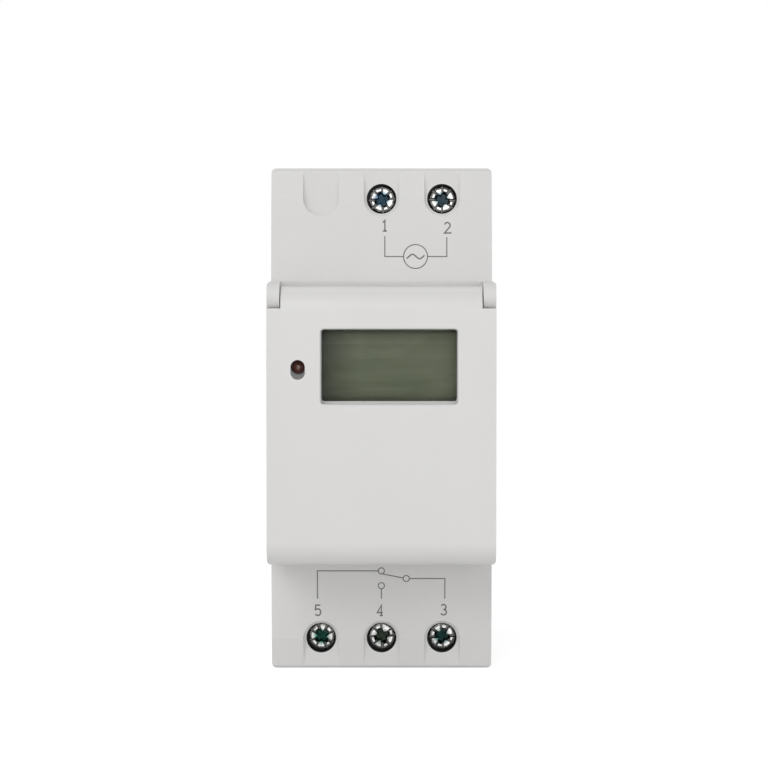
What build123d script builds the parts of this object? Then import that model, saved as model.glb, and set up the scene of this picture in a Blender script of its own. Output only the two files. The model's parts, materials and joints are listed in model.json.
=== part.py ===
from build123d import *
import os
from math import sqrt

# DIN rail time switch, two modules wide. Millimetres.
# +X is right, +Z is up, and the front faces -Y. The origin lies on the rail's centreline,
# in the plane where the housing rests on the front of the rail.

# Overall sizes
module_width = 18.0
module_count = 2
body_height = 82.0
nose_height = 44.8
overall_depth = 65.0
hook_depth = 5.5
shoulder_reach = 44.5
split_reach = 22.0
wall = 1.6
corner_round = 0.8

# Top-hat rail and the parts that hold it
rail_height = 35.0
rail_thickness = 1.0
rail_play = 0.3
rail_grip = 2.4
rail_lower_gap = 1.2
clip_width = 14.0
clip_plate = 2.0
clip_rib_width = 10.0
clip_play = 0.2
clip_ramp = 1.6
spring_radius = 1.15
spring_wire = 0.4
spring_length = 10.0
spring_turns = 8
spring_drop = 5.0
peg_height = 2.0
peg_half = 1.4
peg_play = 0.3
clip_window_play = 0.35
driver_slot_width = 5.0
driver_slot_height = 1.6
driver_slot_edge = 1.0

# Snap tabs and posts that join the two halves of the housing
tab_width = 6.0
tab_thickness = 1.2
tab_reach = 5.0
tab_play = 0.1
barb_height = 1.0
barb_length = 1.6
barb_inset = 1.0
post_radius = 1.4
post_side_gap = 1.5
post_nose_gap = 0.3

# Shoulders
shoulder_slope = 0.9
strip_slope = 1.0
strip_height = 5.0
end_chamfer = 0.45
recess_half_width = 2.925

# Terminals
terminal_pitch = 9.9
screw_hole_radius = 2.4
screw_head_radius = 2.15
screw_head_height = 1.5
screw_head_depth = 1.2
screw_ledge = 0.9
screw_shank_radius = 1.75
screw_chamfer = 0.25
screw_slot_half = 0.45
screw_slot_depth = 0.7
screw_cross_half = 1.6
screw_cross_depth = 0.9
running_clearance = 0.05
cage_width = 7.0
cage_depth = 6.0
cage_top = 1.4
cage_side = 1.1
cage_travel = 4.2
cage_play = 0.3
chamber_play = 0.65
chamber_end_play = 0.4
bar_width = 4.0
bar_thickness = 1.2
bar_lap = 3.0
wire_opening = 5.4
screw_tip_gap = 0.1

# Nose and lid
lid_wall = 1.6
lid_skirt = 1.4
lid_skirt_depth = 9.2
lid_gap = 0.4
lid_panel_gap = 1.7
lid_bottom_round = 3.6
lid_top_round = 4.0
lid_barrel_radius = 1.6
lid_notch_height = 4.3
lid_top_inset = 0.8
hinge_pin_radius = 0.9
hinge_pin_length = 1.4
pin_end_play = 0.1
ear_width = 2.0
ear_radius = 2.4
ear_recess = 0.6
ear_gap = 0.25
ear_side_gap = 0.2
trough_radius = 3.25
trough_gap = 0.7
nose_panel = 1.5
core_wall = 1.4
flank_gap = 0.3

# Display and lamp
display_x = 1.22
lens_width = 21.2
lens_height = 11.2
lens_flange = 0.8
lens_thickness = 1.2
lens_flange_thickness = 0.8
bezel_proud = 1.2
bezel_margin = 1.2
window_side_margin = 0.12
window_low_margin = 0.45
window_round = 0.5
window_bevel = 0.16
glass_side_margin = 1.2
glass_end_margin = 0.5
glass_thickness = 1.8
glass_step = 0.8
frame_wall = 0.6
frame_play = 0.1
zebra_depth = 1.2
zebra_inset = 0.5
lamp_x = -13.1
lamp_z = 8.9
lamp_hole_z = 8.5
lamp_hole_width = 2.25
lamp_hole_height = 3.1
lamp_radius = 1.1
lamp_rim = 0.25
lamp_rim_height = 0.8
lamp_setback = 0.1

# Keys
key_pitch = 6.8
key_row_pitch = 8.4
key_top_row = -4.4
key_width = 5.0
key_height = 3.6
key_proud = 0.9
key_play = 0.15
key_round = 0.4
key_edge_round = 0.35
key_flange = 0.5
key_flange_gap = 0.1
key_flange_thickness = 0.6
key_stem_radius = 0.9
reset_radius = 1.0
reset_sunk = 0.3
switch_size = 4.4
switch_height = 1.6
switch_bore_radius = 1.15
switch_floor = 0.3
switch_engage = 0.2

# Boards
board_thickness = 1.6
control_board_gap = 3.1
board_edge_gap = 0.6
board_play = 0.3
board_post_gap = 0.2
link_edge = 2.0
link_rise = 4.0
link_width = 10.0
link_height = 2.4
link_depth = 2.5
link_pin_count = 4
link_pin_pitch = 2.54
link_pin_radius = 0.32
battery_radius = 6.25
battery_thickness = 2.8
battery_rise = 12.5
chip_size = 10.0
chip_thickness = 1.4
chip_low = 2.0
crystal_radius = 1.0
crystal_length = 6.0
crystal_z = -2.5

# Relay
relay_x = 0.0
relay_z = -12.0
relay_width = 20.0
relay_height = 13.0
relay_depth = 16.5
relay_base_depth = 1.5
relay_wall = 0.8
coil_x = -4.0
coil_radius = 3.6
coil_sink = 0.4
coil_flange = 0.8
coil_top = 11.2
core_radius = 1.5
core_tip = 11.8
yoke_thickness = 1.0
yoke_width = 6.0
yoke_top_gap = 0.2
hinge_gap = 0.3
armature_gap = 0.5
armature_thickness = 0.8
armature_reach = 14.5
armature_swing = 0.065
armature_bead = 0.2
armature_hinge_inset = 0.6
armature_arm_half = 1.2
blade_x = 6.0
blade_half_width = 0.8
blade_thickness = 0.4
blade_offset = 3.4
blade_low_gap = 0.3
blade_high_gap = 0.25

# Parts that stand on the mains board
part_gap = 0.3
film_width = 18.0
film_thickness = 7.0
film_height = 12.0
film_left = -11.5
film_low = 6.0
can_radius = 3.6
can_height = 12.0
can_z = 9.5
varistor_radius = 4.4
varistor_thickness = 4.0
varistor_lift = 5.6
varistor_x = -5.0
varistor_drop = 2.5
varistor_leg_spread = 2.5
leg_radius = 0.3
diode_count = 4
diode_first_x = 1.5
diode_pitch = 3.0
diode_drop = 3.5
diode_lift = 1.6
diode_radius = 1.15
diode_half_length = 2.2
diode_lead_half = 3.6
diode_leg_spread = 3.2
diode_leg_radius = 0.25

# Places worked out from the sizes above
half_width = module_width * module_count / 2
half_height = body_height / 2
half_nose = nose_height / 2
y_back = hook_depth
y_lid = hook_depth - overall_depth
y_split = -split_reach
y_root = -shoulder_reach
y_fold = y_root + shoulder_slope
y_end = y_fold + strip_slope
y_nose = y_lid + lid_wall + lid_panel_gap
y_flank = y_lid + lid_skirt_depth + flank_gap
y_bezel = y_nose - bezel_proud
y_panel_inside = y_nose + nose_panel
y_control_board = y_panel_inside + control_board_gap
z_fold = half_height - strip_height
core_half_width = half_width - lid_skirt - lid_gap
core_bottom = -half_nose + lid_skirt + lid_gap
hinge_y = y_lid + ear_recess + ear_radius
hinge_z = half_nose - ear_radius
lid_top = half_nose - lid_top_inset
lid_notch_z = half_nose - lid_notch_height
rail_top = rail_height / 2 + rail_play
hook_tip = rail_height / 2 - rail_grip
y_groove = rail_thickness + rail_play
clip_ledge = -(rail_height / 2 + rail_play + rail_lower_gap)

# Clip, spring and the peg that the spring stands on
y_clip = y_groove + clip_play
y_clip_back = y_back - clip_play
clip_end = -half_height + clip_play
clip_window_half = spring_radius + spring_wire / 2 + clip_window_play
spring_high = clip_ledge - spring_drop
spring_low = spring_high - spring_length
peg_low = spring_low - peg_height

# Terminal stack, from the screw's head inwards
y_head = y_end + screw_head_depth
y_head_under = y_head + screw_head_height
y_chamber = y_head_under + screw_ledge
y_cage_rest = y_chamber + cage_play + cage_travel
y_bar = y_cage_rest + cage_top + cage_play
y_bar_under = y_bar + bar_thickness
y_cage_floor = y_bar_under + wire_opening
y_cage_under = y_cage_floor + cage_top
z_terminal = z_fold
chamber_half = cage_width / 2 + chamber_play
chamber_inner = z_terminal - cage_depth / 2 - chamber_end_play
chamber_outer = half_height - wall
rib_inner = chamber_inner - wall
power_board_half = rib_inner - board_edge_gap
bar_inner = power_board_half - bar_lap

# Display, posts, tabs and boards
glass_width = lens_width + 2 * glass_side_margin
glass_height = lens_height + 2 * glass_end_margin
frame_width = glass_width + 2 * (frame_play + frame_wall)
frame_height = glass_height + 2 * (frame_play + frame_wall)
flange_back = y_bezel + lens_thickness + lens_flange_thickness
ridge_y = hinge_y + trough_radius
core_room = core_half_width - core_wall
core_top = hinge_z - trough_radius - trough_gap
core_low = core_bottom + core_wall
display_z = core_top - frame_play - frame_height / 2
post_x = half_width - wall - post_radius - post_side_gap
post_z = half_nose + post_radius + post_nose_gap
board_post_x = core_room - post_radius - board_post_gap
board_post_low = core_low + post_radius + 2 * board_post_gap
key_top = key_top_row + key_height / 2
frame_low = display_z - frame_height / 2
board_post_high = (key_top + frame_low - board_post_gap) / 2
tab_z = half_nose / 2
tab_outer = half_width - wall - tab_play
tab_inner = tab_outer - tab_thickness
tab_tip = y_split - tab_reach
barb_front = tab_tip + barb_inset
y_power_board = y_bar_under
y_power_back = y_power_board + board_thickness
y_control_back = y_control_board + board_thickness
y_switch = y_control_board - switch_height

# Relay
y_relay_foot = y_power_back + relay_base_depth
y_relay_back = y_power_back + relay_depth
yoke_x = coil_x - coil_radius - hinge_gap
yoke_left = yoke_x - yoke_thickness
armature_axis_x = yoke_left + armature_hinge_inset
y_yoke_top = y_relay_foot + core_tip + yoke_top_gap
y_armature = y_relay_foot + core_tip + armature_gap
can_x = tab_inner - part_gap - can_radius

terminals = {
    "1": (0, 1),
    "2": (1, 1),
    "5": (-1, -1),
    "4": (0, -1),
    "3": (1, -1),
}
key_places = {
    "key_program": (-1.5, 0),
    "key_day": (-0.5, 0),
    "key_hour": (0.5, 0),
    "key_minute": (1.5, 0),
    "key_clock": (-1.5, 1),
    "key_manual": (-0.5, 1),
    "key_recall": (0.5, 1),
    "reset_button": (1.5, 1),
}


def block(x0, x1, y0, y1, z0, z1):
    """A box between two corners, given in any order."""
    size = (abs(x1 - x0), abs(y1 - y0), abs(z1 - z0))
    middle = ((x0 + x1) / 2, (y0 + y1) / 2, (z0 + z1) / 2)
    return Pos(*middle) * Box(*size)


def rod_x(radius, x0, x1, y, z):
    """A round bar along X."""
    return Pos((x0 + x1) / 2, y, z) * Rot(0, 90, 0) * Cylinder(radius, abs(x1 - x0))


def rod_y(radius, y0, y1, x, z):
    """A round bar along Y."""
    return Pos(x, (y0 + y1) / 2, z) * Rot(90, 0, 0) * Cylinder(radius, abs(y1 - y0))


def rod_z(radius, z0, z1, x, y):
    """A round bar along Z."""
    return Pos(x, y, (z0 + z1) / 2) * Cylinder(radius, abs(z1 - z0))


def plate_y(sketch, y0, y1, x, z):
    """A flat shape drawn as X and Z from the front, thickened from y0 to y1."""
    front = min(y0, y1)
    plane = Plane(origin=(x, front, z), x_dir=(1, 0, 0), z_dir=(0, -1, 0))
    return extrude(plane * sketch, amount=-abs(y1 - y0))


def side_profile(outline, half):
    """A closed side outline in Y and Z, made as wide as the given half width both ways."""
    face = Plane.YZ * make_face(outline)
    return Pos(-half, 0, 0) * extrude(face, amount=2 * half)


def terminal_x(column):
    return column * terminal_pitch


def key_centre(place):
    column, row = place
    return column * key_pitch, key_top_row - row * key_row_pitch


def rounded_block(width, height, radius, y0, y1, x=0, z=0):
    """A slab with rounded corners seen from the front."""
    return plate_y(RectangleRounded(width, height, radius), y0, y1, x, z)


# Housing


def shoulders():
    """The outside of the front half behind the nose, with both sloping shoulders."""
    outline = Polyline(
        (y_split, -half_height),
        (y_end + end_chamfer, -half_height),
        (y_end, end_chamfer - half_height),
        (y_fold, -z_fold),
        (y_root, -half_nose),
        (y_root, half_nose),
        (y_fold, z_fold),
        (y_end, half_height - end_chamfer),
        (y_end + end_chamfer, half_height),
        (y_split, half_height),
        close=True,
    )
    body = side_profile(outline, half_width)
    envelope = rounded_block(2 * half_width, body_height, corner_round, y_split, y_root - 1)
    return body & envelope


def hinge_ears():
    """The two ears beside the lid's barrel, and the plates that carry them."""
    ears = []
    for side in (-1, 1):
        inner = side * (half_width - ear_width)
        outer = side * half_width
        ears.append(rod_x(ear_radius, inner, outer, hinge_y, hinge_z))
        ears.append(block(inner, outer, hinge_y, y_flank, hinge_z - ear_radius, half_nose))
    return ears


def nose():
    """The raised nose: full-width flanks, a narrower core under the lid, and the ears."""
    body = block(-half_width, half_width, y_root, y_flank, -half_nose, half_nose)
    body += block(-core_half_width, core_half_width, y_flank, y_nose, core_bottom, half_nose)
    body += hinge_ears()
    gap = half_width - ear_width
    body -= rod_x(trough_radius, -gap, gap, hinge_y, hinge_z)
    body -= block(-gap, gap, y_lid, ridge_y, hinge_z, half_nose + 1)
    body -= block(-gap, gap, y_lid, hinge_y, hinge_z - trough_radius, half_nose + 1)
    envelope = rounded_block(2 * half_width, nose_height, corner_round, y_root, y_lid)
    body &= envelope
    return body + rounded_block(
        lens_width + 2 * bezel_margin,
        lens_height + 2 * bezel_margin,
        window_round * 2,
        y_nose,
        y_bezel,
        display_x,
        display_z,
    )


def inside_of_front():
    """The room inside the front half, apart from the terminal chambers."""
    side = half_width - wall
    under = y_fold + wall
    tall = half_nose - wall
    room = block(-side, side, y_split, under, -rib_inner, rib_inner)
    room += block(-side, side, under, y_flank + wall, -tall, tall)
    room += block(-core_room, core_room, under, y_panel_inside, core_low, core_top)
    room += block(-core_room, core_room, under, ridge_y + wall, 0, tall)
    return room


def terminal_cuts(column, end, wired):
    """The U recess, and where there is a terminal its screw well, chamber and wire entry."""
    x = terminal_x(column)
    z = end * z_terminal
    past_end = end * (half_height + 1)
    cut = rod_y(recess_half_width, y_root - 1, y_end, x, z)
    cut += block(x - recess_half_width, x + recess_half_width, y_root - 1, y_end, z, past_end)
    if not wired:
        return cut
    cut += rod_y(screw_hole_radius, y_end, y_head_under, x, z)
    cut += rod_y(screw_shank_radius + 3 * running_clearance, y_head_under, y_chamber, x, z)
    near = end * chamber_inner
    far = end * chamber_outer
    cut += block(x - chamber_half, x + chamber_half, y_chamber, y_split, near, far)
    half_entry = (cage_width - 2 * cage_side) / 2
    cut += block(x - half_entry, x + half_entry, y_bar_under, y_cage_floor, far, past_end)
    half_bar = bar_width / 2
    cut += block(x - half_bar, x + half_bar, y_bar, y_bar_under, end * rib_inner, near)
    return cut


def display_cuts():
    """The stepped opening that holds the lens, and the pocket behind it."""
    play = running_clearance
    cut = rounded_block(
        lens_width + 2 * play, lens_height + 2 * play, window_round,
        y_bezel, y_panel_inside, display_x, display_z,
    )
    flange = 2 * (lens_flange + play)
    cut += rounded_block(
        lens_width + flange, lens_height + flange, window_round,
        y_bezel + lens_thickness, y_panel_inside, display_x, display_z,
    )
    pocket = 2 * frame_play
    cut += rounded_block(
        frame_width + pocket, frame_height + pocket, window_round,
        flange_back, y_panel_inside, display_x, display_z,
    )
    cut += rod_y(lamp_radius + frame_play, y_nose, y_panel_inside, lamp_x, lamp_z)
    return cut


def key_cut(name):
    """The hole in the nose for one key."""
    x, z = key_centre(key_places[name])
    if name == "reset_button":
        return rod_y(reset_radius + key_play, y_nose, y_panel_inside, x, z)
    width = key_width + 2 * key_play
    height = key_height + 2 * key_play
    return rounded_block(width, height, window_round, y_nose, y_panel_inside, x, z)


def snap_tab(side, z):
    """A tab on the rear half that hooks into a window in the front half."""
    outer = side * tab_outer
    low = z - tab_width / 2
    high = z + tab_width / 2
    root = y_split + wall
    barb = outer + side * barb_height
    tab = block(side * tab_inner, outer, tab_tip, root, low, high)
    tab += block(outer, side * half_width, y_split + tab_play, root, low, high)
    tab += block(outer, barb, barb_front, barb_front + barb_length, low, high)
    return tab


def snap_window(side, z):
    """The window in the front half's side wall for one snap tab."""
    half = tab_width / 2 + tab_play
    return block(
        side * (half_width - wall), side * (half_width + 1),
        barb_front - tab_play, barb_front + barb_length + tab_play,
        z - half, z + half,
    )


def front_shell():
    """The front half of the housing."""
    shell = shoulders() + nose()
    shell -= inside_of_front()
    for column in (-1, 0, 1):
        for end in (-1, 1):
            wired = (column, end) in terminals.values()
            shell -= terminal_cuts(column, end, wired)
    shell -= display_cuts()
    for name in key_places:
        shell -= key_cut(name)
    for side in (-1, 1):
        for end in (-1, 1):
            shell -= snap_window(side, end * tab_z)
            shell += rod_y(post_radius, y_fold + wall, y_power_board, side * post_x, end * post_z)
        pin_inner = half_width - ear_width - pin_end_play
        pin_end = pin_inner + hinge_pin_length + 2 * pin_end_play
        pin_bore = hinge_pin_radius + running_clearance
        shell -= rod_x(pin_bore, side * pin_inner, side * pin_end, hinge_y, hinge_z)
        for z in (board_post_low, board_post_high):
            shell += rod_y(post_radius, y_panel_inside, y_control_board, side * board_post_x, z)
    return shell


def rear_shell():
    """The rear half of the housing, with the rail seat, the fixed hook and the clip's channel."""
    side = half_width - wall
    end = half_height - wall
    shell = rounded_block(2 * half_width, body_height, corner_round, y_split, y_back)
    past = half_width + 1
    shell -= block(-past, past, 0, y_back + 1, clip_ledge, hook_tip)
    shell -= block(-past, past, 0, y_groove, 0, rail_top)
    shell -= block(-side, side, y_split, -wall, -end, end)
    shell -= block(-side, side, -wall, y_back - wall, rail_top + wall, end)
    channel = clip_width / 2 + clip_play
    for hand in (-1, 1):
        near = hand * (channel + wall)
        shell -= block(near, hand * side, -wall, y_back - wall, clip_ledge - wall, -end)
    plate_back = y_clip + clip_plate + clip_play
    shell -= block(-channel, channel, y_groove, plate_back, clip_ledge, -half_height - 1)
    mouth = clip_rib_width / 2 + clip_play
    shell -= block(-mouth, mouth, plate_back, y_back + 1, clip_ledge, -half_height - 1)
    shell += block(-peg_half, peg_half, y_groove, y_back - wall, spring_low, peg_low)
    for hand in (-1, 1):
        for level in (-1, 1):
            shell += snap_tab(hand, level * tab_z)
            shell += rod_y(post_radius, y_power_back, y_back - wall, hand * post_x, level * post_z)
    return shell


# Rail clip

def din_clip():
    """The sliding foot: its tip grips behind the rail's lower edge."""
    clip = block(-clip_width / 2, clip_width / 2, y_clip, y_clip + clip_plate, clip_end, -hook_tip)
    rib = clip_rib_width / 2
    clip += block(-rib, rib, y_clip, y_clip_back, clip_end, -hook_tip)
    tip_edges = clip.edges().filter_by(Axis.X).group_by(Axis.Z)[-1].sort_by(Axis.Y)[-1:]
    clip = chamfer(tip_edges, clip_ramp)
    window_low = peg_low - peg_play
    half = clip_window_half
    clip -= block(-half, half, y_groove, y_back, window_low, spring_high)
    slot_low = clip_end + driver_slot_edge
    half = driver_slot_width / 2
    clip -= block(-half, half, y_groove, y_back, slot_low, slot_low + driver_slot_height)
    return clip


def clip_spring():
    """The coil spring that pushes the clip up against the rail."""
    length = spring_length - spring_wire
    pitch = length / spring_turns
    path = Helix(pitch, length, spring_radius)
    section = Plane(origin=path @ 0, z_dir=path % 0) * Circle(spring_wire / 2)
    coil = sweep(section, path=path, is_frenet=True)
    return Pos(0, (y_clip + y_clip_back) / 2, spring_low + spring_wire / 2) * coil


# Lid


def lid():
    """The hinged cover over the nose: a tray with a barrel and two stub pins along its top."""
    skirt_y = y_lid + lid_skirt_depth
    inner_y = y_lid + lid_wall
    low = -half_nose
    arc_y = y_lid + lid_top_round
    arc_z = lid_top - lid_top_round
    low_y = y_lid + lid_bottom_round
    low_z = low + lid_bottom_round
    diagonal = sqrt(0.5)
    outside = [
        Line((skirt_y, low), (low_y, low)),
        ThreePointArc(
            (low_y, low),
            (low_y - lid_bottom_round * diagonal, low_z - lid_bottom_round * diagonal),
            (y_lid, low_z),
        ),
        Line((y_lid, low_z), (y_lid, arc_z)),
        ThreePointArc(
            (y_lid, arc_z),
            (arc_y - lid_top_round * diagonal, arc_z + lid_top_round * diagonal),
            (arc_y, lid_top),
        ),
        Line((arc_y, lid_top), (skirt_y, lid_top)),
        Line((skirt_y, lid_top), (skirt_y, low)),
    ]
    body = side_profile(outside, half_width)
    body &= rounded_block(2 * half_width, nose_height, corner_round, y_lid, skirt_y)
    side = half_width - lid_skirt
    inner_low = low + lid_skirt
    inner_round = lid_bottom_round - lid_skirt
    inner_arc = lid_top_round - lid_wall
    inside = [
        Line((skirt_y + 1, inner_low), (low_y, inner_low)),
        ThreePointArc(
            (low_y, inner_low),
            (low_y - inner_round * diagonal, low_z - inner_round * diagonal),
            (inner_y, low_z),
        ),
        Line((inner_y, low_z), (inner_y, arc_z)),
        ThreePointArc(
            (inner_y, arc_z),
            (arc_y - inner_arc * diagonal, arc_z + inner_arc * diagonal),
            (arc_y, arc_z + inner_arc),
        ),
        Line((arc_y, arc_z + inner_arc), (arc_y, lid_top + 1)),
        Line((arc_y, lid_top + 1), (skirt_y + 1, lid_top + 1)),
        Line((skirt_y + 1, lid_top + 1), (skirt_y + 1, inner_low)),
    ]
    body -= side_profile(inside, side)
    barrel = half_width - ear_width - ear_side_gap
    for hand in (-1, 1):
        ear_in = hand * barrel
        ear_out = hand * (half_width + 1)
        body -= block(ear_in, ear_out, y_lid - 1, skirt_y + 1, lid_notch_z, lid_top + 1)
        body -= rod_x(ear_radius + ear_gap, ear_in, ear_out, hinge_y, hinge_z)
        ear_low = hinge_z - ear_radius - ear_gap
        body -= block(ear_in, ear_out, hinge_y, skirt_y + 1, ear_low, lid_top + 1)
    body += rod_x(lid_barrel_radius, -barrel, barrel, hinge_y, hinge_z)
    for hand in (-1, 1):
        pin_end = barrel + ear_side_gap + hinge_pin_length
        body += rod_x(hinge_pin_radius, hand * barrel, hand * pin_end, hinge_y, hinge_z)
    body -= lid_window()
    lamp = SlotOverall(lamp_hole_height, lamp_hole_width, rotation=90)
    body -= plate_y(lamp, y_lid - 1, inner_y + 1, lamp_x, lamp_hole_z)
    return body


def lid_window():
    """The bevelled opening in the lid in front of the display."""
    width = lens_width + 2 * window_side_margin
    height = lens_height + window_side_margin + window_low_margin
    middle_z = display_z + (window_side_margin - window_low_margin) / 2
    hole = rounded_block(
        width, height, window_round, y_lid - 1, y_lid + lid_wall + 1, display_x, middle_z,
    )
    front = Plane(origin=(display_x, y_lid, middle_z), x_dir=(1, 0, 0), z_dir=(0, -1, 0))
    back = Plane(
        origin=(display_x, y_lid + window_bevel, middle_z), x_dir=(1, 0, 0), z_dir=(0, -1, 0),
    )
    wide = width + 2 * window_bevel
    tall = height + 2 * window_bevel
    mouth = front * RectangleRounded(wide, tall, window_round + window_bevel)
    throat = back * RectangleRounded(width, height, window_round)
    return hole + loft([mouth, throat])


# Display, lamp and keys


def lcd_lens():
    """The clear window, stepped so that it cannot fall out forwards."""
    lens = rounded_block(
        lens_width, lens_height, window_round - running_clearance,
        y_bezel, y_bezel + lens_thickness, display_x, display_z,
    )
    flange = 2 * lens_flange
    return lens + rounded_block(
        lens_width + flange, lens_height + flange, window_round,
        y_bezel + lens_thickness, flange_back, display_x, display_z,
    )


def lcd_panel():
    """The display glass behind the lens: two sheets, the rear one taller for its contacts."""
    half = glass_thickness / 2
    front = block(
        display_x - glass_width / 2, display_x + glass_width / 2,
        flange_back, flange_back + half,
        display_z - glass_height / 2 + glass_step, display_z + glass_height / 2 - glass_step,
    )
    return front + block(
        display_x - glass_width / 2, display_x + glass_width / 2,
        flange_back + half, flange_back + glass_thickness,
        display_z - glass_height / 2, display_z + glass_height / 2,
    )


def lcd_frame():
    """The frame that centres the glass over its rubber strips."""
    frame = rounded_block(
        frame_width, frame_height, window_round, flange_back, y_control_board, display_x, display_z,
    )
    return frame - block(
        display_x - glass_width / 2 - frame_play, display_x + glass_width / 2 + frame_play,
        flange_back, y_control_board,
        display_z - glass_height / 2 - frame_play, display_z + glass_height / 2 + frame_play,
    )


def zebra_strips():
    """Two striped rubber bars between the glass and the board."""
    strips = []
    half = glass_width / 2 - zebra_inset
    for end in (-1, 1):
        edge = display_z + end * glass_height / 2
        strips.append(block(
            display_x - half, display_x + half,
            flange_back + glass_thickness, y_control_board,
            edge, edge - end * zebra_depth,
        ))
    return Compound(strips)


def status_led():
    """A small round lamp that stands on the clock board."""
    tip = y_nose - lamp_setback
    rim_front = y_control_board - lamp_rim_height
    lamp = rod_y(lamp_radius + lamp_rim, y_control_board, rim_front, lamp_x, lamp_z)
    lamp += rod_y(lamp_radius, y_control_board, tip, lamp_x, lamp_z)
    return lamp + Pos(lamp_x, tip, lamp_z) * Sphere(lamp_radius)


def key(name):
    """One key: a cap through the nose, a flange that keeps it in, and a stem to its switch."""
    x, z = key_centre(key_places[name])
    flange_front = y_panel_inside + key_flange_gap
    flange_end = flange_front + key_flange_thickness
    if name == "reset_button":
        cap = rod_y(reset_radius, y_nose + reset_sunk, flange_front, x, z)
        flange = rod_y(reset_radius + key_flange, flange_front, flange_end, x, z)
    else:
        cap = rounded_block(
            key_width, key_height, key_round, y_nose - key_proud, flange_front, x, z,
        )
        front = cap.faces().sort_by(Axis.Y)[0]
        cap = fillet(front.edges(), key_edge_round)
        flange = rounded_block(
            key_width + 2 * key_flange, key_height + 2 * key_flange, window_round,
            flange_front, flange_end, x, z,
        )
    return cap + flange + rod_y(key_stem_radius, flange_front, y_switch + switch_engage, x, z)


def tact_switches():
    """One push switch behind each key, each with a bore for the key's stem."""
    switches = []
    half = switch_size / 2
    for place in key_places.values():
        x, z = key_centre(place)
        switch = block(x - half, x + half, y_switch, y_control_board, z - half, z + half)
        switch -= rod_y(switch_bore_radius, y_switch, y_control_board - switch_floor, x, z)
        switches.append(switch)
    return Compound(switches)


# Terminals


def terminal_screw(column, end):
    """A captive screw with a combined slot and cross recess."""
    x = terminal_x(column)
    z = end * z_terminal
    tip = y_bar - screw_tip_gap
    screw = rod_y(screw_head_radius, y_head, y_head_under, x, z)
    rim = screw.faces().sort_by(Axis.Y)[0].edges()
    screw = chamfer(rim, screw_chamfer)
    screw += rod_y(screw_shank_radius, y_head_under, tip, x, z)
    long = screw_head_radius + 1
    half = screw_slot_half
    arm = screw_cross_half
    slot_floor = y_head + screw_slot_depth
    cross_floor = y_head + screw_cross_depth
    screw -= block(x - long, x + long, y_head - 1, slot_floor, z - half, z + half)
    screw -= block(x - half, x + half, y_head - 1, cross_floor, z - arm, z + arm)
    return screw


def terminal_cage(column, end):
    """The rising clamp: a square loop with a tapped top, open both ways for the wire."""
    x = terminal_x(column)
    z = end * z_terminal
    half = cage_width / 2
    deep = cage_depth / 2
    cage = block(x - half, x + half, y_cage_rest, y_cage_under, z - deep, z + deep)
    inner = half - cage_side
    top_under = y_cage_rest + cage_top
    cage -= block(x - inner, x + inner, top_under, y_cage_floor, z - deep, z + deep)
    bore = screw_shank_radius + running_clearance
    return cage - rod_y(bore, y_cage_rest, top_under, x, z)


def contact_bar(column, end):
    """The fixed bar through the cage, laid on the mains board at its inner end."""
    x = terminal_x(column)
    half = bar_width / 2
    tip = end * (z_terminal + cage_depth / 2)
    return block(x - half, x + half, y_bar, y_bar_under, end * bar_inner, tip)


# Boards and what they carry


def power_pcb():
    """The mains board, held between the posts of both shells."""
    side = half_width - wall - board_edge_gap
    end = power_board_half
    return block(-side, side, y_power_board, y_power_back, -end, end)


def control_pcb():
    """The clock board behind the nose, on four posts."""
    side = core_room - board_play
    low = core_low + board_play
    high = core_top - board_play
    return block(-side, side, y_control_board, y_control_back, low, high)


def board_link():
    """A socket on the clock board with pins that run to the mains board."""
    x = half_width / 2 - link_edge
    z = core_bottom + link_rise
    wide = link_width / 2
    tall = link_height / 2
    socket_end = y_control_back + link_depth
    link = block(x - wide, x + wide, y_control_back, socket_end, z - tall, z + tall)
    first = x - link_pin_pitch * (link_pin_count - 1) / 2
    for index in range(link_pin_count):
        pin_x = first + index * link_pin_pitch
        link += rod_y(link_pin_radius, socket_end, y_power_board, pin_x, z)
    return link


def backup_battery():
    """The button cell that keeps the time when the mains is off."""
    back = y_control_back + battery_thickness
    return rod_y(battery_radius, y_control_back, back, -half_width / 3, core_bottom + battery_rise)


def controller_chip():
    """The microcontroller on the back of the clock board."""
    x = half_width / 3
    half = chip_size / 2
    back = y_control_back + chip_thickness
    return block(x - half, x + half, y_control_back, back, chip_low, chip_low + chip_size)


def clock_crystal():
    """The small round can that times the clock."""
    x = half_width / 3
    half = crystal_length / 2
    return rod_x(crystal_radius, x - half, x + half, y_control_back + crystal_radius, crystal_z)


def relay_base():
    """The relay's foot on the mains board."""
    wide = relay_width / 2
    tall = relay_height / 2
    return block(
        relay_x - wide, relay_x + wide,
        y_power_back, y_relay_foot,
        relay_z - tall, relay_z + tall,
    )


def relay_case():
    """The relay's cover, open towards its foot."""
    wide = relay_width / 2
    tall = relay_height / 2
    case = block(
        relay_x - wide, relay_x + wide,
        y_relay_foot, y_relay_back,
        relay_z - tall, relay_z + tall,
    )
    wide -= relay_wall
    tall -= relay_wall
    return case - block(
        relay_x - wide, relay_x + wide,
        y_relay_foot, y_relay_back - relay_wall,
        relay_z - tall, relay_z + tall,
    )


def relay_yoke():
    """The bent iron yoke with the coil's core riveted to it."""
    low = relay_z - yoke_width / 2
    high = relay_z + yoke_width / 2
    floor_back = y_relay_foot + yoke_thickness
    yoke = block(yoke_left, coil_x + coil_radius, y_relay_foot, floor_back, low, high)
    yoke += block(yoke_left, yoke_x, y_relay_foot, y_yoke_top, low, high)
    return yoke + rod_y(core_radius, y_relay_foot, y_relay_foot + core_tip, coil_x, relay_z)


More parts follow.
